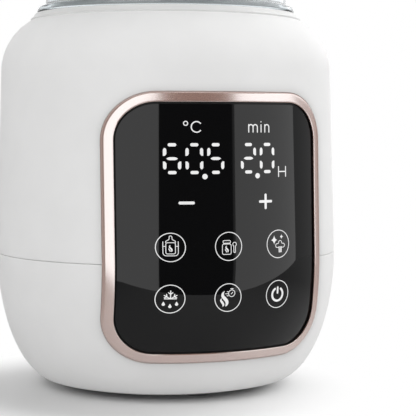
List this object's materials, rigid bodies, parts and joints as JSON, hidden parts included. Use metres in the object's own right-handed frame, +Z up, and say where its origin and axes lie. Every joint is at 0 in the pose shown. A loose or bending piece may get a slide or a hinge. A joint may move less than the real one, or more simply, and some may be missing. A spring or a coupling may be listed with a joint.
{
  "type": "bottle warmer sterilizer",
  "caption": "Round countertop bottle warmer and steam sterilizer with a curved touch panel, a heated water well, a lifting basket and a clear steam dome.",
  "frame": {"origin": "centre of the base on the surface that the feet stand on", "axes": "+Z up along the axis of the well, -Y towards the user, out of the control panel, +X to the right of the panel as the user sees it"},
  "size_m": [0.14, 0.1399, 0.2706],
  "materials": {
    "housing_white": "satin moulded white",
    "inner_grey": "fine matte texture",
    "inner_white": "plain moulded",
    "inner_black": "plain moulded",
    "liner_grey": "satin moulded",
    "basket_grey": "satin moulded",
    "rose_gold": "polished metallic rose gold",
    "lens_black": "polished black",
    "dome_clear": "clear polished",
    "steel": "plain steel",
    "plate_aluminium": "turned and coated",
    "seal_silicone": "matte silicone",
    "foot_rubber": "matte rubber",
    "gland_grey": "matte rubber",
    "circuit_board": "solder mask",
    "terminal_green": "plain moulded",
    "lead_red": "silicone sleeve"
  },
  "bodies": {
    "base": {"upper_housing": "housing_white", "lower_housing": "housing_white", "base_plate": "inner_grey", "feet": "foot_rubber", "chassis_screws": "steel", "well_liner": "liner_grey", "plate_seal": "seal_silicone", "heating_plate": "plate_aluminium", "heater_bracket": "steel", "bracket_screws": "steel", "heating_element": "steel", "thermal_cutout": "inner_black", "temperature_sensor": "steel", "power_board": "circuit_board", "power_relay": "inner_black", "power_transformer": "inner_black", "filter_capacitor": "inner_black", "terminal_block": "terminal_green", "heater_leads": "lead_red", "touch_board": "circuit_board", "board_screws": "steel", "panel_carrier": "inner_white", "touch_springs": "steel", "digit_display": "inner_black", "buzzer": "inner_black", "signal_cable": "inner_grey", "panel_bezel": "rose_gold", "panel_lens": "lens_black", "cord_gland": "gland_grey"},
    "dome": {"steam_dome": "dome_clear", "dome_knob": "housing_white", "knob_screw": "steel"},
    "basket": {"bottle_basket": "basket_grey"}
  },
  "joints": [
    {"name": "dome_lift", "type": "slide", "parent": "base", "child": "dome", "axis": [0, 0, 1], "range_m": [0, 0.12]},
    {"name": "basket_lift", "type": "slide", "parent": "base", "child": "basket", "axis": [0, 0, 1], "range_m": [0, 0.1]}
  ]
}
